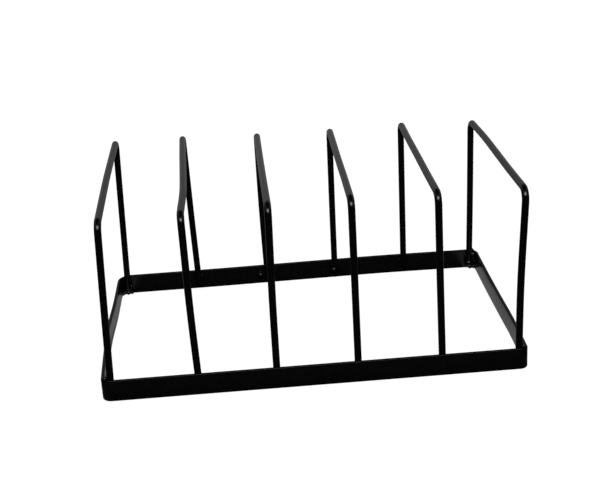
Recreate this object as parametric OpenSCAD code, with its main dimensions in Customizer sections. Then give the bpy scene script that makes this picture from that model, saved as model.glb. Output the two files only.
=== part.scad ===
// Pot lid rack. A flat steel strip, bent to a rectangular ring, stands on edge as the
// base. Six dividers, each one length of round wire bent to an upside-down U, are
// welded to the inner faces of its long sides, so that lids stand in five slots.
// Millimetres. +X runs along the row of slots, +Y to the back, +Z up. The origin is
// the middle of the ring, on the surface that the rack stands on.

/* [Base frame] */
// Length of the ring over its outer faces
frame_l = 308; // [220:1:400]
// Depth of the ring over its outer faces
frame_w = 200; // [140:1:260]
// Height of the strip, which stands on edge, over its enamel
strip_h = 16.5; // [12:0.5:25]
// Thickness of the strip
strip_t = 2.5; // [1.5:0.1:4]
// Radius of the strip's rolled edges
strip_edge_r = 0.6; // [0.2:0.1:0.7]
// Inner radius of the ring's four corner bends
corner_r = 3.5; // [3:0.5:12]

/* [Dividers] */
// Height of the rack over the dividers' top wires
rack_h = 137; // [90:1:180]
// Diameter of the divider wire over its enamel
wire_d = 5.2; // [3:0.1:6]
// Inner radius of each divider's two top bends
bend_r = 5.5; // [3:0.5:12]
// Height of the legs' cut ends above the surface
leg_end_z = 4; // [3:0.5:6]

// Distance from an end divider's feet to where the ring's corner bends begin
end_gap = 1.5; // [1:0.5:20]

/* [Hand-set places] */
// How far each divider stands to the right of even spacing, from the left
shift = [0, 2.7, 0.6, 1.3, 2.9, 0]; // [-5:0.1:5]
// How far each divider's top leans to the right of its feet, from the left
lean = [3.7, -2.4, 0.7, 0.1, -0.7, 2.8]; // [-6:0.1:6]
// How far each divider's rear foot stands to the right of its front foot
skew = [-0.7, -1.3, -0.7, 0.9, 0.3, 0.6]; // [-3:0.1:3]

/* [Welds] */
// Radius of the half-round bead in the notch on each side of a leg
bead_r = 1.8; // [1:0.1:2]
// How far the side beads' centres stand outside the leg's sides
bead_out = 0.2; // [0:0.1:0.4]
// How far the side beads stop below the strip's top edge
bead_drop = 2; // [1:0.5:4]
// Radius of the puddle that closes a leg's cut end against the strip
puddle_r = 2; // [1.8:0.1:2.4]

/* [Hidden] */
DIVIDERS = 6;
$fn = 72;
ENAMEL = "#111113";
FRONT = -1;
REAR = 1;

wire_r = wire_d / 2;
// Centreline radius of a top bend, and height of the top wire's centreline
bend_axis_r = bend_r + wire_r;
top_axis_z = rack_h - wire_r;
// Centre of a corner bend, from the middle of the ring
corner_x = frame_l / 2 - strip_t - corner_r;
corner_y = frame_w / 2 - strip_t - corner_r;
// Inner face of the ring's long sides, and the legs' centreline, which touches it
inner_y = frame_w / 2 - strip_t;
leg_y = inner_y - wire_r;
// Even spacing of the dividers between the two at the ends
end_x = corner_x - end_gap;
pitch = 2 * end_x / (DIVIDERS - 1);
// A side bead's centre, along the strip from the leg's centreline
bead_x = wire_r + bead_out;
// Clearance between an end divider's bead and the corner bend, for the leg's lean
corner_clear = 0.2;

function divider_x(i) = -end_x + (i - 1) * pitch + shift[i - 1];
function lean_angle(i) = atan(lean[i - 1] / top_axis_z);
function skew_angle(i) = -atan(skew[i - 1] / (2 * leg_y));

// Section of the flat strip, standing on Y = 0, with the ring's inner face on X = 0
module strip_section() {
    e = strip_edge_r;
    translate([0, e])
        square([strip_t, strip_h - 2 * e]);
    translate([e, 0])
        square([strip_t - 2 * e, strip_h]);
    for (x = [e, strip_t - e]) {
        for (y = [e, strip_h - e]) {
            translate([x, y])
                circle(e);
        }
    }
}

// A straight side of the ring, running along Y, with its inner face on X = 0
module strip_side(len) {
    rotate([90, 0, 0])
        linear_extrude(len, center = true)
            strip_section();
}

// A corner bend of the ring, turning about its own centre from +X to +Y
module strip_corner() {
    rotate_extrude(angle = 90)
        translate([corner_r, 0])
            strip_section();
}

module ring() {
    for (m = [0, 1]) {
        mirror([m, 0])
            translate([corner_x + corner_r, 0, 0])
                strip_side(2 * corner_y);
        mirror([0, m])
            rotate([0, 0, 90])
                translate([corner_y + corner_r, 0, 0])
                    strip_side(2 * corner_x);
        for (n = [0, 1]) {
            mirror([m, 0])
                mirror([0, n])
                    translate([corner_x, corner_y, 0])
                        strip_corner();
        }
    }
}

// Half a divider's wire in the plane X = 0, drawn from the centre of its top bend: the
// bend, the leg below it at the back, and the top wire's half that runs to the middle
module half_wire(half_span) {
    bend_z = top_axis_z - bend_axis_r;
    run = half_span - bend_axis_r;
    translate([0, run, bend_z]) {
        rotate([90, 0, 90])
            rotate_extrude(angle = 90)
                translate([bend_axis_r, 0])
                    circle(wire_r);
        translate([0, bend_axis_r, 0])
            mirror([0, 0, 1])
                cylinder(h = bend_z - leg_end_z, r = wire_r);
        translate([0, 0, bend_axis_r])
            rotate([90, 0, 0])
                cylinder(h = run, r = wire_r);
    }
}

// One divider's wire, turned to its skew and leaned, its feet against the strip
module wire(i) {
    translate([divider_x(i), 0, 0])
        rotate([0, lean_angle(i), skew_angle(i)])
            for (m = [0, 1]) {
                mirror([0, m])
                    half_wire(leg_y / cos(skew_angle(i)));
            }
}

// Plan of the bead to the right of a leg, in the notch between the leg and the strip's
// face at Y = 0. It stays clear of a corner bend, which begins at to_corner.
module bead_plan(to_corner) {
    difference() {
        intersection() {
            translate([bead_x, 0])
                circle(bead_r);
            union() {
                square([to_corner, corner_r]);
                translate([to_corner, corner_r])
                    circle(corner_r - corner_clear);
            }
        }
        translate([0, wire_r])
            circle(wire_r);
    }
}

// The puddle under a leg's cut end, hanging from Z = 0 with its flat on Y = 0
module puddle() {
    rotate_extrude(angle = 180)
        intersection() {
            circle(puddle_r);
            translate([0, -puddle_r])
                square(puddle_r);
        }
}

// The weld at one foot: a bead up each side of the leg, and the puddle under it
module foot_weld(side, i) {
    foot_x = divider_x(i) + side * skew[i - 1] / 2;
    translate([foot_x, side * inner_y, 0])
        mirror([0, side == REAR ? 1 : 0])
            rotate([0, lean_angle(i), 0])
                translate([0, 0, leg_end_z]) {
                    for (m = [0, 1]) {
                        mirror([m, 0])
                            linear_extrude(strip_h - bead_drop - leg_end_z)
                                bead_plan(corner_x - (m == 0 ? foot_x : -foot_x));
                    }
                    puddle();
                }
}

module base_frame() {
    color(ENAMEL)
        ring();
}

module divider(i) {
    color(ENAMEL)
        wire(i);
}

module weld(side, i) {
    color(ENAMEL)
        foot_weld(side, i);
}

base_frame();
for (i = [1:DIVIDERS]) {
    divider(i);
    weld(FRONT, i);
    weld(REAR, i);
}
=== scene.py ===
# Pot lid rack. A flat steel strip bent to a ring, six dividers of bent round wire welded
# inside it, and one coat of gloss black enamel over all of it. Metres, in the CAD's frame:
# +X along the row of slots, +Y to the back, +Z up from the surface it stands on.
import math
import random
import bmesh
import bpy
from mathutils import Matrix, Vector


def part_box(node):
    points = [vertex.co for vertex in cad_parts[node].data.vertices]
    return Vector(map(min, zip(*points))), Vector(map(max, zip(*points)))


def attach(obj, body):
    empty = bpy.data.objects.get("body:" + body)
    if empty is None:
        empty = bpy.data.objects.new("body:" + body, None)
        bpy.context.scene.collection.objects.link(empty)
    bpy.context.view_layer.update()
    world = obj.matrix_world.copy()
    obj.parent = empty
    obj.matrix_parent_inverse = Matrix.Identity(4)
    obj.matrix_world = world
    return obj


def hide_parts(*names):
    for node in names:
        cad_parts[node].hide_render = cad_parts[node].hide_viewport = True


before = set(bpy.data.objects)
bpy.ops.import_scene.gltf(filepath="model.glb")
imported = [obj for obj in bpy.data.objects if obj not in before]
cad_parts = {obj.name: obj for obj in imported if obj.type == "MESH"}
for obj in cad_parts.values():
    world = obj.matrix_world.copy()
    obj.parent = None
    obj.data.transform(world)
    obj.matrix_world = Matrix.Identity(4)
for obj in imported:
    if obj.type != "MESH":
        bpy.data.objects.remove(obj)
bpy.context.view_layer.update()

# The base ring. It is one flat mild steel strip, 16.5 by 2.5 mm over its enamel, bent round
# four corners, closed to a ring and stood on edge. Its edges are rolled round, and no side
# came out of the bending quite straight.
MM = 0.001
STRIP_T = 2.5 * MM
STRIP_EDGE_R = 1.2 * MM
# Steps of the mesh round a rolled edge, round a corner bend and along a side
EDGE_STEPS = 6
CORNER_STEPS = 16
SIDE_STEPS = 60
# Outward ways of the front, right, back and left sides
WAY_OUT = (Vector((0, -1)), Vector((1, 0)), Vector((0, 1)), Vector((-1, 0)))
# Front right, rear right, rear left and front left corners: the inner radius of each bend,
# and how far the corner stands out of a true rectangle in X and in Y, in mm
CORNER_R = (3.5, 6.5, 9.0, 4.5)
CORNER_OUT_X = (-1.0, 0.4, 0.4, -0.3)
CORNER_OUT_Y = (0.0, -0.6, -1.5, 0.0)
# Right, back, left and front sides: how far each stands out a quarter, half and three
# quarters of the way along, in mm
SIDE_OUT = (
    (0.2, 0.0, 0.0),
    (0.9, -0.1, -1.4),
    (0.8, 2.1, 1.3),
    (0.0, 0.0, 0.0),
)


def mesh_object(name, points, faces):
    """A smooth-shaded mesh object of these points and faces."""
    mesh = bpy.data.meshes.new(name)
    mesh.from_pydata([tuple(p) for p in points], [], faces)
    mesh.update()
    mesh.polygons.foreach_set("use_smooth", [True] * len(mesh.polygons))
    piece = bpy.data.objects.new(name, mesh)
    bpy.context.scene.collection.objects.link(piece)
    return piece


def loft(rings, closed_path):
    """Points and faces of a skin through rings that have the same number of points."""
    count = len(rings[0])
    faces = []
    last = len(rings) if closed_path else len(rings) - 1
    for i in range(last):
        a = i * count
        b = (i + 1) % len(rings) * count
        for j in range(count):
            k = (j + 1) % count
            faces.append((a + j, a + k, b + k, b + j))
    return [p for ring in rings for p in ring], faces


def along(values, t):
    """A smooth curve through evenly spaced values, at t from 0 to 1."""
    spans = len(values) - 1
    span = min(int(t * spans), spans - 1)
    u = t * spans - span
    a, b = values[span], values[span + 1]
    before = values[span - 1] if span > 0 else 2 * a - b
    after = values[span + 2] if span + 2 <= spans else 2 * b - a
    rise_a = (b - before) / 2
    rise_b = (after - a) / 2
    return (
        a * (1 + 2 * u) * (1 - u) ** 2 + b * u * u * (3 - 2 * u)
        + rise_a * u * (1 - u) ** 2 - rise_b * u * u * (1 - u)
    )


def strip_section(height):
    """The strip's section as (outward, up) pairs, from the ring's inner face at 0."""
    r = STRIP_EDGE_R
    corners = (
        (STRIP_T - r, r, -90),
        (STRIP_T - r, height - r, 0),
        (r, height - r, 90),
        (r, r, 180),
    )
    section = []
    for out, up, start in corners:
        for step in range(EDGE_STEPS + 1):
            a = math.radians(start + 90 * step / EDGE_STEPS)
            section.append((out + r * math.cos(a), up + r * math.sin(a)))
    return section


def corner_place(number):
    """Where the inner faces of the two sides that join at a corner would meet."""
    x = ring_high.x - STRIP_T + CORNER_OUT_X[number] * MM
    y = ring_high.y - STRIP_T + CORNER_OUT_Y[number] * MM
    toward = WAY_OUT[number] + WAY_OUT[(number + 1) % 4]
    return Vector((toward.x * x, toward.y * y))


def side_ends(number):
    """How far a side's two ends stand out, in mm, at the corners before and after it."""
    outs = CORNER_OUT_X if number % 2 == 0 else CORNER_OUT_Y
    return outs[number], outs[(number + 1) % 4]


def side_out(number, t):
    """How far a side stands out of a true rectangle, a part t of the way along it."""
    first, last = side_ends(number)
    return along((first, *SIDE_OUT[number], last), t) * MM


def ring_path():
    """The inner line of the ring in plan, as (place, outward direction) pairs."""
    path = []
    for number in range(4):
        following = (number + 1) % 4
        way_a = WAY_OUT[number]
        way_b = WAY_OUT[following]
        way_c = WAY_OUT[(number + 2) % 4]
        r = CORNER_R[number] * MM
        centre = corner_place(number) - r * (way_a + way_b)
        for step in range(CORNER_STEPS + 1):
            a = math.pi / 2 * step / CORNER_STEPS
            out = math.cos(a) * way_a + math.sin(a) * way_b
            path.append((centre + r * out, out))
        start = corner_place(number) - r * way_a
        end = corner_place(following) - CORNER_R[following] * MM * way_c
        first, last = side_ends(number)
        for step in range(1, SIDE_STEPS):
            t = step / SIDE_STEPS
            bow = side_out(number, t) - (first + (last - first) * t) * MM
            path.append((start.lerp(end, t) + bow * way_b, way_b))
    return path


ring_low, ring_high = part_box("base_frame")
strip_height = ring_high.z - ring_low.z
section = strip_section(strip_height)
rings = []
for place, out in ring_path():
    rings.append([(*(place + u * out), ring_low.z + up) for u, up in section])
strip_ring = mesh_object("strip_ring", *loft(rings, closed_path=True))

# The finish of the ring and the wires is one stoved black enamel, sprayed on and baked. It
# runs smooth and glossy and gives the eye a deep black with clear, slightly wavy reflections.
ENAMEL_BLACK = "#010102"
ENAMEL_SOFT_BLACK = "#030304"
ENAMEL_IOR = 1.5
# Width of the patches in which the coat pools and thins, and of those of handling haze, and
# how many times rougher or smoother than its mean the haze leaves the coat
POOLING_SIZE = 30 * MM
HAZE_SIZE = 8 * MM
HAZE_SPREAD = 1.25
# Crest to crest of the orange peel, drawn a little coarser than the real one
PEEL_SIZE = 2.2 * MM
STRIP_ROUGHNESS = 0.2
STRIP_PEEL_DEPTH = 0.012 * MM
# Full gloss, what is left of it on the strip's rolled edges, and how wide that band is
FULL_GLOSS = 0.5
EDGE_GLOSS = 0.12
EDGE_BAND = 1.3 * MM


def linear(hex_colour):
    """An sRGB hex colour as linear red, green, blue and alpha."""
    values = [int(hex_colour[i:i + 2], 16) / 255 for i in (1, 3, 5)]
    return [v / 12.92 if v <= 0.04045 else ((v + 0.055) / 1.055) ** 2.4 for v in values] + [1]


def add(tree, kind, settings=None, links=None):
    """Adds a node. settings go to its properties or input sockets, and links join its inputs.

    An input goes by its name, or by its number where several have the same name.
    """
    node = tree.nodes.new(kind)
    for key, value in (settings or {}).items():
        if isinstance(key, str) and hasattr(node, key):
            setattr(node, key, value)
        else:
            node.inputs[key].default_value = value
    for key, socket in (links or {}).items():
        tree.links.new(socket, node.inputs[key])
    return node


def new_material(name):
    """An empty node material and its output node."""
    material = bpy.data.materials.new(name)
    material.use_nodes = True
    material.node_tree.nodes.clear()
    return material, material.node_tree.nodes.new("ShaderNodeOutputMaterial")


def stoved_enamel(name, roughness, peel_depth):
    """Gloss black stoved enamel with the faint orange peel of a sprayed coat."""
    material, output = new_material(name)
    tree = material.node_tree
    place = add(tree, "ShaderNodeTexCoord").outputs["Object"]
    # The black is a little softer where the coat is thin
    pooling = add(
        tree, "ShaderNodeTexNoise",
        {"Scale": 1 / POOLING_SIZE, "Detail": 3},
        {"Vector": place},
    )
    colour = add(
        tree, "ShaderNodeMix",
        {"data_type": "RGBA", "A": linear(ENAMEL_BLACK), "B": linear(ENAMEL_SOFT_BLACK)},
        {"Factor": pooling.outputs["Fac"]},
    )
    haze = add(
        tree, "ShaderNodeTexNoise",
        {"Scale": 1 / HAZE_SIZE, "Detail": 4},
        {"Vector": place},
    )
    rough = add(
        tree, "ShaderNodeMapRange",
        {"To Min": roughness / HAZE_SPREAD, "To Max": roughness * HAZE_SPREAD},
        {"Value": haze.outputs["Fac"]},
    )
    peel = add(
        tree, "ShaderNodeTexNoise",
        {"Scale": 1 / PEEL_SIZE, "Detail": 1},
        {"Vector": place},
    )
    bump = add(
        tree, "ShaderNodeBump",
        {"Strength": 1.0, "Distance": peel_depth},
        {"Height": peel.outputs["Fac"]},
    )
    shader = add(
        tree, "ShaderNodeBsdfPrincipled",
        {"IOR": ENAMEL_IOR},
        {
            "Base Color": colour.outputs["Result"],
            "Roughness": rough.outputs["Result"],
            "Normal": bump.outputs["Normal"],
        },
    )
    tree.links.new(shader.outputs["BSDF"], output.inputs["Surface"])
    return material


strip_finish = stoved_enamel("stoved_enamel_on_strip", STRIP_ROUGHNESS, STRIP_PEEL_DEPTH)
tree = strip_finish.node_tree
# The coat draws back from the rolled edges as it bakes, and is thin and dull there
place = add(tree, "ShaderNodeTexCoord").outputs["Object"]
level = add(tree, "ShaderNodeSeparateXYZ", links={"Vector": place})
off_middle = add(
    tree, "ShaderNodeMath",
    {"operation": "SUBTRACT", 1: strip_height / 2},
    {0: level.outputs["Z"]},
)
distance = add(tree, "ShaderNodeMath", {"operation": "ABSOLUTE"}, {0: off_middle.outputs["Value"]})
edge_gloss = add(
    tree, "ShaderNodeMapRange",
    {
        "interpolation_type": "SMOOTHSTEP",
        "From Min": strip_height / 2 - EDGE_BAND,
        "From Max": strip_height / 2 - EDGE_BAND / 2,
        "To Min": FULL_GLOSS,
        "To Max": EDGE_GLOSS,
    },
    {"Value": distance.outputs["Value"]},
)
coat = tree.nodes["Principled BSDF"]
tree.links.new(edge_gloss.outputs["Result"], coat.inputs["Specular IOR Level"])
strip_ring.data.materials.append(strip_finish)
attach(strip_ring, "root")
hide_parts("base_frame")

# The dividers. Each is one length of 5 mm drawn wire, 5.2 mm over its enamel, cut to length
# and then bent twice round a former to an upside-down U. They were bent and set by hand, so
# no two stand quite alike.
DIVIDERS = 6
WIRE_R = 2.6 * MM
WIRE_ROUGHNESS = 0.19
WIRE_PEEL_DEPTH = 0.006 * MM
# Radius of a top bend's centre line, and of the rounding at a cut end's edge
BEND_R = 8.1 * MM
CUT_ROUND = 0.5 * MM
# Steps of the mesh round the wire, round a bend, up a leg, along the top and at a cut end
WIRE_SIDES = 28
BEND_STEPS = 18
LEG_STEPS = 30
TOP_STEPS = 60
CUT_STEPS = 4
# Height of the band at a CAD wire's cut ends in which its feet are looked for
FOOT_BAND = 0.6 * MM
# How far each wire wanders to the right of its own flat U, in mm, from the left divider on:
# the front foot, half way up the leg, the front bend, the quarter points of the top, the
# rear bend, half way down the leg and the rear foot
WANDER = (
    (-1.1, -0.95, -0.5, -0.85, -1.1, -0.9, -0.5, -0.35, -0.15),
    (0.35, -0.25, 0.25, 1.4, 0.85, 0.0, -0.65, -0.6, -0.1),
    (0.0, -0.15, 0.5, 0.25, 0.05, 0.0, 0.0, 0.5, 1.8),
    (0.1, -0.1, -0.3, -0.05, -0.05, 0.2, 0.45, -0.05, -0.3),
    (0.45, 0.0, -0.2, -0.2, 0.0, 0.1, 0.5, -0.05, -0.6),
    (0.3, -0.1, 1.2, 0.85, 0.95, 0.95, -0.2, 0.25, 0.4),
)
# How far each wire's front bend and rear bend stand above the common height, in mm
FRONT_RISE = (-2.0, -0.9, 1.1, 1.6, 1.3, -0.2)
REAR_RISE = (1.1, 1.2, -0.9, -1.3, -0.4, -2.5)


def middle(points):
    """The middle of the box round these points."""
    low = Vector(map(min, *points))
    high = Vector(map(max, *points))
    return (low + high) / 2


def divider_plane(node):
    """Where a divider's U stands: its foot X, skew, lean, half span, foot Z and top Z."""
    points = [v.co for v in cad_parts[node].data.vertices]
    low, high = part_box(node)
    foot_top = low.z + FOOT_BAND
    front = middle([p for p in points if p.z < foot_top and p.y < 0])
    rear = middle([p for p in points if p.z < foot_top and p.y > 0])
    top = middle([p for p in points if p.z > high.z - WIRE_R])
    foot_x = (front.x + rear.x) / 2
    lean = (top.x - foot_x) / (high.z - WIRE_R - low.z)
    skew = (rear.x - front.x) / (rear.y - front.y)
    return foot_x, skew, lean, rear.y, low.z, high.z - WIRE_R


def rear_foot_out(x):
    """How far the back side of the ring stands out at x, where a rear foot meets it."""
    return side_out(1, (ring_high.x - x) / (ring_high.x - ring_low.x))


def divider_line(number):
    """The centre line of a divider's wire, foot to foot, as points from front to back."""
    foot_x, skew, lean, half_span, foot_z, top_z = divider_plane(f"divider_{number}")
    wander = [w * MM for w in WANDER[number - 1]]
    front_rise = FRONT_RISE[number - 1] * MM
    rear_rise = REAR_RISE[number - 1] * MM
    foot_out = rear_foot_out(foot_x)
    bend_y = half_span - BEND_R
    leg = top_z - BEND_R - foot_z
    line = []

    def put(y, z, sideways):
        """Adds a point of the flat U, with its skew and lean, moved sideways."""
        line.append(Vector((foot_x + skew * y + lean * (z - foot_z) + sideways, y, z)))

    for step in range(LEG_STEPS):
        t = step / LEG_STEPS
        put(-half_span, foot_z + (leg + front_rise) * t, along(wander[:3], t))
    for step in range(BEND_STEPS):
        a = math.pi / 2 * step / BEND_STEPS
        z = foot_z + leg + front_rise + BEND_R * math.sin(a)
        put(-bend_y - BEND_R * math.cos(a), z, wander[2])
    for step in range(TOP_STEPS + 1):
        t = step / TOP_STEPS
        rise = front_rise + (rear_rise - front_rise) * t
        put(-bend_y + 2 * bend_y * t, top_z + rise, along(wander[2:7], t))
    for step in range(1, BEND_STEPS + 1):
        a = math.pi / 2 * step / BEND_STEPS
        z = foot_z + leg + rear_rise + BEND_R * math.cos(a)
        put(bend_y + BEND_R * math.sin(a), z, wander[6])
    for step in range(1, LEG_STEPS + 1):
        t = step / LEG_STEPS
        z = foot_z + (leg + rear_rise) * (1 - t)
        put(half_span + foot_out * t, z, along(wander[6:], t))
    return line


def cut_end(place, inward):
    """Places and radii of the rings that round the edge of a wire's cut end."""
    end = []
    for step in range(CUT_STEPS):
        a = math.pi / 2 * step / CUT_STEPS
        depth = CUT_ROUND * (1 - math.cos(a))
        end.append((place + depth * inward, WIRE_R - CUT_ROUND * (1 - math.sin(a))))
    return end


def wire_skin(line):
    """Points and faces of a round wire along a line, closed at its two cut ends."""
    front_end = cut_end(line[0], (line[1] - line[0]).normalized())
    rear_end = cut_end(line[-1], (line[-2] - line[-1]).normalized())
    stations = front_end + [(place, WIRE_R) for place in line[1:-1]] + rear_end[::-1]
    last = len(stations) - 1
    angles = [2 * math.pi * j / WIRE_SIDES for j in range(WIRE_SIDES)]
    rings = []
    for i, (place, r) in enumerate(stations):
        ahead = stations[min(i + 1, last)][0] - stations[max(i - 1, 0)][0]
        side = ahead.cross(Vector((1, 0, 0))).normalized()
        across = side.cross(ahead).normalized()
        rings.append([place + r * (math.cos(a) * side + math.sin(a) * across) for a in angles])
    points, faces = loft(rings, closed_path=False)
    faces.append(tuple(reversed(range(WIRE_SIDES))))
    faces.append(tuple(range(len(points) - WIRE_SIDES, len(points))))
    return points, faces


wire_finish = stoved_enamel("stoved_enamel_on_wire", WIRE_ROUGHNESS, WIRE_PEEL_DEPTH)
feet = {}
for number in range(1, DIVIDERS + 1):
    line = divider_line(number)
    feet["front", number] = line[0]
    feet["rear", number] = line[-1]
    wire = mesh_object(f"wire_{number}", *wire_skin(line))
    wire.data.materials.append(wire_finish)
    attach(wire, "root")
    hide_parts(f"divider_{number}")

# The welds. A short bead of weld metal runs up the notch on each side of a leg, laid down
# lump on lump, and a puddle closes the cut end below. The enamel runs over all of it.
BEAD_LUMPS = 7
BEAD_LUMP_R = 1.6 * MM
BEAD_LUMP_FLAT = 0.8
BEAD_LUMP_RISE = 1.3 * MM
# Height of the first lump, as a part of that rise
BEAD_FIRST = 0.3
# Where a bead lies: beside the leg's centre line, and off the strip's face
BEAD_SIDE = 2.5 * MM
BEAD_PROUD = 0.35 * MM
PUDDLE_LUMPS = 4
PUDDLE_R = 1.8 * MM
PUDDLE_FLAT = 0.7
PUDDLE_PROUD = 1.2 * PUDDLE_R
# How far a lump may stray, and how much of that upward in a puddle
JITTER = 0.2 * MM
PUDDLE_UP = 0.3
# Fineness of a lump's mesh, the voxels that fuse the lumps, and the passes of smoothing
LUMP_DETAIL = 3
WELD_VOXEL = 0.25 * MM
WELD_FLOW = 8
# Weld metal beyond the usual, as (right, proud, up, radius) from the foot, in mm. The first
# rear foot has a wide low puddle, the third a stray lump, and the fourth a puddle that ran up
# the leg. The end dividers' metal fills the ring's corners.
EXTRA_METAL = {
    ("rear", 1): ((-3.2, 2.4, -2.0, 1.7), (0.0, 3.0, -2.1, 1.7), (3.0, 2.2, -2.1, 1.6)),
    ("rear", 3): ((-5.9, 1.2, 4.2, 3.1),),
    ("rear", 4): (
        (-0.8, 4.4, 4.8, 3.1), (-0.6, 3.8, 1.8, 2.4), (-2.2, 2.3, -1.0, 1.5),
        (0.0, 2.6, -1.0, 1.6), (2.0, 2.3, -1.0, 1.5),
    ),
    ("rear", 6): (
        (1.9, 4.2, 13.4, 1.7), (2.4, 2.0, 12.4, 2.3), (3.0, 2.8, 9.4, 2.3), (3.4, 2.8, 6.4, 2.0),
        (5.8, 4.0, 9.8, 2.2), (4.4, 3.2, 4.4, 2.0), (-0.6, 4.4, 2.2, 3.2), (-1.6, 3.0, -1.0, 1.6),
        (0.8, 2.8, -2.1, 1.7), (3.8, 2.6, -2.0, 1.8),
    ),
    ("front", 1): ((-3.4, 2.4, 12.0, 1.9), (-3.0, 2.2, 9.0, 1.7)),
    ("front", 6): ((3.2, 2.0, 12.2, 1.9), (3.8, 2.6, 9.2, 1.9), (3.4, 2.4, 6.4, 1.8)),
}


def weld_lumps(side, number, foot):
    """Places and sizes of the lumps of weld metal round a foot."""
    seed = 10 * number + (side == "rear")
    dice = random.Random(seed)
    into = Vector((0, 1 if side == "front" else -1, 0))
    face = foot - WIRE_R * into
    lumps = []

    def stray(most=1):
        """A random distance, at most JITTER down and most times JITTER up."""
        return dice.uniform(-1, most) * JITTER

    for sign in (-1, 1):
        for step in range(BEAD_LUMPS):
            place = face + into * (BEAD_PROUD + stray())
            place.x += sign * (BEAD_SIDE + stray())
            place.z += BEAD_LUMP_RISE * (step + BEAD_FIRST) + stray()
            r = BEAD_LUMP_R + stray()
            lumps.append((place, (r, r, BEAD_LUMP_FLAT * r)))
    for step in range(PUDDLE_LUMPS):
        place = face + into * (PUDDLE_PROUD + stray())
        place.x += (step / (PUDDLE_LUMPS - 1) - 0.5) * 2 * PUDDLE_R
        place.z += stray(PUDDLE_UP)
        lumps.append((place, (PUDDLE_R, PUDDLE_R, PUDDLE_FLAT * PUDDLE_R)))
    for right, proud, up, radius in EXTRA_METAL.get((side, number), ()):
        place = face + into * proud * MM + Vector((right, 0, up)) * MM
        lumps.append((place, (radius * MM,) * 3))
    return lumps


def fused(name, lumps):
    """One smooth closed mesh in which the lumps have run together."""
    soft = bmesh.new()
    for place, size in lumps:
        matrix = Matrix.Translation(place) @ Matrix.Diagonal((*size, 1))
        bmesh.ops.create_icosphere(soft, subdivisions=LUMP_DETAIL, radius=1, matrix=matrix)
    mesh = bpy.data.meshes.new(name)
    soft.to_mesh(mesh)
    soft.free()
    piece = bpy.data.objects.new(name, mesh)
    bpy.context.scene.collection.objects.link(piece)
    fuse = piece.modifiers.new("fuse", "REMESH")
    fuse.mode = "VOXEL"
    fuse.voxel_size = WELD_VOXEL
    fuse.use_smooth_shade = True
    flow = piece.modifiers.new("flow", "SMOOTH")
    flow.iterations = WELD_FLOW
    done = piece.evaluated_get(bpy.context.evaluated_depsgraph_get())
    piece.data = bpy.data.meshes.new_from_object(done)
    piece.modifiers.clear()
    return piece


for (side, number), foot in feet.items():
    bead = fused(f"bead_{side}_{number}", weld_lumps(side, number, foot))
    bead.data.materials.append(wire_finish)
    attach(bead, "root")
    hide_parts(f"weld_{side}_{number}")

# The studio: a white floor that keeps a faint shadow. Only the enamel's reflections show the
# polished black card that lies on it, and two narrow grey cards inside the ring, along its
# short sides. The left one stops short of the front.
WHITE = (1, 1, 1, 1)
# Half the side of the floor and of the black card
FLOOR_HALF = 30
CARD_HALF = 20
FLOOR_TONE = "#6c6c6c"
FLOOR_GLOW = 0.93
CARD_LIFT = 0.2 * MM
CARD_ROUGHNESS = 0.1
CARD_SHINE = 0.7
# The slants at which the black card begins to mirror the room, and mirrors it most
CARD_SLANT_BLEND = 0.5
CARD_SLANT_FROM = 0.42
CARD_SLANT_FULL = 0.62
SIDE_CARD_W = 9 * MM
SIDE_CARD_LIFT = 2 * CARD_LIFT
SIDE_CARD_GLOW = 0.25
LEFT_CARD_FRONT = -55 * MM


def level_sheet(name, low, high, height):
    """A flat sheet lying level between two corners in plan."""
    points = [(low[0], low[1]), (high[0], low[1]), (high[0], high[1]), (low[0], high[1])]
    return mesh_object(name, [(x, y, height) for x, y in points], [(0, 1, 2, 3)])


def for_gloss_only(sheet):
    """Hides a card from all but mirror rays."""
    sheet.visible_camera = False
    sheet.visible_diffuse = False
    sheet.visible_transmission = False
    sheet.visible_shadow = False


# White matt paint. It glows nearly white for the camera and in reflections, so that the
# shadow on it stays faint, and all other light meets its grey tone.
floor = level_sheet("floor", (-FLOOR_HALF, -FLOOR_HALF), (FLOOR_HALF, FLOOR_HALF), 0)
floor_paint, output = new_material("white_floor")
tree = floor_paint.node_tree
rays = add(tree, "ShaderNodeLightPath").outputs
matt = add(tree, "ShaderNodeBsdfDiffuse", {"Color": linear(FLOOR_TONE)})
clear = add(
    tree, "ShaderNodeMath",
    {"operation": "MAXIMUM"},
    {0: rays["Is Glossy Ray"], 1: rays["Is Transmission Ray"]},
)
seen = add(
    tree, "ShaderNodeMath",
    {"operation": "MAXIMUM"},
    {0: rays["Is Camera Ray"], 1: clear.outputs["Value"]},
)
white = add(
    tree, "ShaderNodeMath",
    {"operation": "MULTIPLY", 1: FLOOR_GLOW},
    {0: seen.outputs["Value"]},
)
glow = add(tree, "ShaderNodeEmission", {"Color": WHITE}, {"Strength": white.outputs["Value"]})
both = add(
    tree, "ShaderNodeAddShader",
    links={0: matt.outputs["BSDF"], 1: glow.outputs["Emission"]},
)
tree.links.new(both.outputs["Shader"], output.inputs["Surface"])
floor.data.materials.append(floor_paint)

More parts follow.
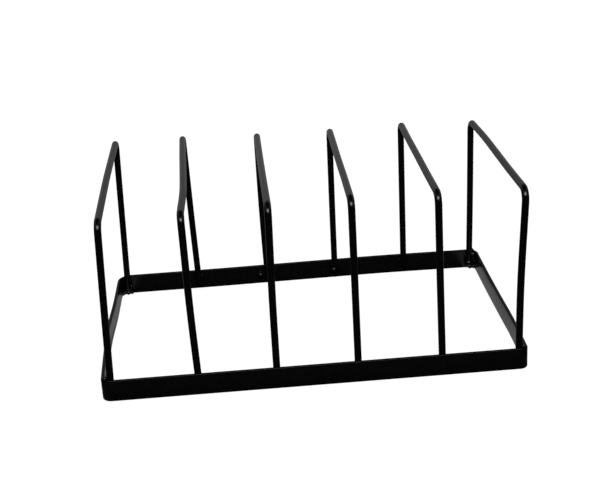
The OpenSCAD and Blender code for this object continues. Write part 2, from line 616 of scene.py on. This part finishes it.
# Polished black card. Seen from above it is black, and at a low slant it mirrors the backdrop.
black_card = level_sheet("black_card", (-CARD_HALF, -CARD_HALF), (CARD_HALF, CARD_HALF), CARD_LIFT)
black_gloss, output = new_material("polished_black_card")
tree = black_gloss.node_tree
slant = add(tree, "ShaderNodeLayerWeight", {"Blend": CARD_SLANT_BLEND})
shine = add(
    tree, "ShaderNodeMapRange",
    {
        "interpolation_type": "SMOOTHSTEP",
        "From Min": CARD_SLANT_FROM,
        "From Max": CARD_SLANT_FULL,
        "To Max": CARD_SHINE,
    },
    {"Value": slant.outputs["Facing"]},
)
polish = add(
    tree, "ShaderNodeBsdfGlossy",
    {"Roughness": CARD_ROUGHNESS},
    {"Color": shine.outputs["Result"]},
)
tree.links.new(polish.outputs["BSDF"], output.inputs["Surface"])
black_card.data.materials.append(black_gloss)
for_gloss_only(black_card)

# Grey card. The inner faces of the ring's short sides mirror it, and look grey.
grey, output = new_material("grey_card")
tree = grey.node_tree
grey_glow = add(tree, "ShaderNodeEmission", {"Color": WHITE, "Strength": SIDE_CARD_GLOW})
tree.links.new(grey_glow.outputs["Emission"], output.inputs["Surface"])
inside_front = ring_low.y + STRIP_T
inside_back = ring_high.y - STRIP_T
for name, sign, front_end in (("left_card", -1, LEFT_CARD_FRONT), ("right_card", 1, inside_front)):
    edge = sign * (ring_high.x - STRIP_T)
    near, far = sorted((edge, edge - sign * SIDE_CARD_W))
    side_card = level_sheet(name, (near, front_end), (far, inside_back), SIDE_CARD_LIFT)
    side_card.data.materials.append(grey)
    for_gloss_only(side_card)

# The room as the enamel sees it. The backdrop is a band behind the rack, from the floor's
# far edge up to BACKDROP_TOP, two pale panels stand high at the sides, and the rest is dim.
# Matt surfaces get an even white dome, and the camera sees plain white.
DOME = 0.5
ROOM = 0.004
# The backdrop's and the panels' glow, and their limits: how far up, back or aside a ray of
# length 1 goes where they begin and where they are full
BACKDROP = 0.27
BACKDROP_TOP = math.sin(math.radians(43))
BACKDROP_TOP_SOFT = 0.2
BACKDROP_SIDE = math.cos(math.radians(55))
BACKDROP_SIDE_SOFT = 0.15
PANEL = 0.3
PANEL_ASIDE_FROM = 0.5
PANEL_ASIDE_FULL = 0.75
PANEL_UP_FROM = math.sin(math.radians(26))
PANEL_UP_FULL = math.sin(math.radians(33))

world = bpy.data.worlds.new("studio")
bpy.context.scene.world = world
world.use_nodes = True
tree = world.node_tree
tree.nodes.clear()
rays = add(tree, "ShaderNodeLightPath").outputs
compass = add(tree, "ShaderNodeTexCoord").outputs["Generated"]
way = add(tree, "ShaderNodeSeparateXYZ", links={"Vector": compass}).outputs
below_top = add(
    tree, "ShaderNodeMapRange",
    {
        "interpolation_type": "SMOOTHSTEP",
        "From Min": BACKDROP_TOP + BACKDROP_TOP_SOFT,
        "From Max": BACKDROP_TOP - BACKDROP_TOP_SOFT,
    },
    {"Value": way["Z"]},
)
behind = add(
    tree, "ShaderNodeMapRange",
    {
        "interpolation_type": "SMOOTHSTEP",
        "From Min": BACKDROP_SIDE - BACKDROP_SIDE_SOFT,
        "From Max": BACKDROP_SIDE + BACKDROP_SIDE_SOFT,
    },
    {"Value": way["Y"]},
)
band = add(
    tree, "ShaderNodeMath",
    {"operation": "MULTIPLY"},
    {0: below_top.outputs["Result"], 1: behind.outputs["Result"]},
)
backdrop = add(
    tree, "ShaderNodeMapRange",
    {"To Min": ROOM, "To Max": BACKDROP},
    {"Value": band.outputs["Value"]},
)
sideways = add(tree, "ShaderNodeMath", {"operation": "ABSOLUTE"}, {0: way["X"]})
aside = add(
    tree, "ShaderNodeMapRange",
    {
        "interpolation_type": "SMOOTHSTEP",
        "From Min": PANEL_ASIDE_FROM,
        "From Max": PANEL_ASIDE_FULL,
        "To Max": PANEL,
    },
    {"Value": sideways.outputs["Value"]},
)
raised = add(
    tree, "ShaderNodeMapRange",
    {
        "interpolation_type": "SMOOTHSTEP",
        "From Min": PANEL_UP_FROM,
        "From Max": PANEL_UP_FULL,
    },
    {"Value": way["Z"]},
)
panels = add(
    tree, "ShaderNodeMath",
    {"operation": "MULTIPLY"},
    {0: aside.outputs["Result"], 1: raised.outputs["Result"]},
)
room = add(
    tree, "ShaderNodeMath",
    {"operation": "ADD"},
    {0: backdrop.outputs["Result"], 1: panels.outputs["Value"]},
)
lit = add(
    tree, "ShaderNodeMix",
    {"data_type": "FLOAT", "A": DOME},
    {"Factor": rays["Is Glossy Ray"], "B": room.outputs["Value"]},
)
straight = add(
    tree, "ShaderNodeMath",
    {"operation": "MAXIMUM"},
    {0: rays["Is Camera Ray"], 1: rays["Is Transmission Ray"]},
)
strength = add(
    tree, "ShaderNodeMix",
    {"data_type": "FLOAT", "B": 1.0},
    {"Factor": straight.outputs["Value"], "A": lit.outputs["Result"]},
)
sky = add(
    tree, "ShaderNodeBackground",
    {"Color": WHITE},
    {"Strength": strength.outputs["Result"]},
)
add(tree, "ShaderNodeOutputWorld", links={"Surface": sky.outputs["Background"]})

# One long soft box hangs in front of the rack, above the camera. It gives each front bend its
# small highlight.
LAMP_DISTANCE = 1.5
LAMP_HEIGHT_ANGLE = math.radians(52)
LAMP_SIZE = (1.4, 0.48)
LAMP_WATTS = 12

lamp_data = bpy.data.lights.new("soft_box", "AREA")
lamp_data.shape = "RECTANGLE"
lamp_data.size, lamp_data.size_y = LAMP_SIZE
lamp_data.energy = LAMP_WATTS
lamp = bpy.data.objects.new("soft_box", lamp_data)
lamp_way = Vector((0, -math.cos(LAMP_HEIGHT_ANGLE), math.sin(LAMP_HEIGHT_ANGLE)))
lamp.location = LAMP_DISTANCE * lamp_way
lamp.rotation_euler = (-lamp_way).to_track_quat("-Z", "Y").to_euler()
bpy.context.scene.collection.objects.link(lamp)

# The camera, as the photograph was taken: from the front, 21 degrees above the rack, and
# rolled a little. Its frame is 600 pixels wide.
EYE = Vector((-43.1, -886.2, 412.2)) * MM
YAW = math.radians(2.619)
PITCH = math.radians(21.374)
ROLL = math.radians(3.312)
FOCAL_PIXELS = 1234.5
FRAME_WIDTH = 600
SENSOR = 36

ahead = Vector((
    math.sin(YAW) * math.cos(PITCH),
    math.cos(YAW) * math.cos(PITCH),
    -math.sin(PITCH),
))
right = Vector((math.cos(YAW), -math.sin(YAW), 0))
down = ahead.cross(right)
rolled_right = math.cos(ROLL) * right + math.sin(ROLL) * down
rolled_down = -math.sin(ROLL) * right + math.cos(ROLL) * down
camera_data = bpy.data.cameras.new("camera")
camera_data.sensor_width = SENSOR
camera_data.lens = FOCAL_PIXELS / FRAME_WIDTH * SENSOR
camera = bpy.data.objects.new("camera", camera_data)
bpy.context.scene.collection.objects.link(camera)
camera.location = EYE
turn = camera.matrix_world.to_3x3()
for row in range(3):
    turn[row][0] = rolled_right[row]
    turn[row][1] = -rolled_down[row]
    turn[row][2] = -ahead[row]
camera.rotation_euler = turn.to_euler()
bpy.context.scene.camera = camera
bpy.context.scene.view_settings.view_transform = "Standard"
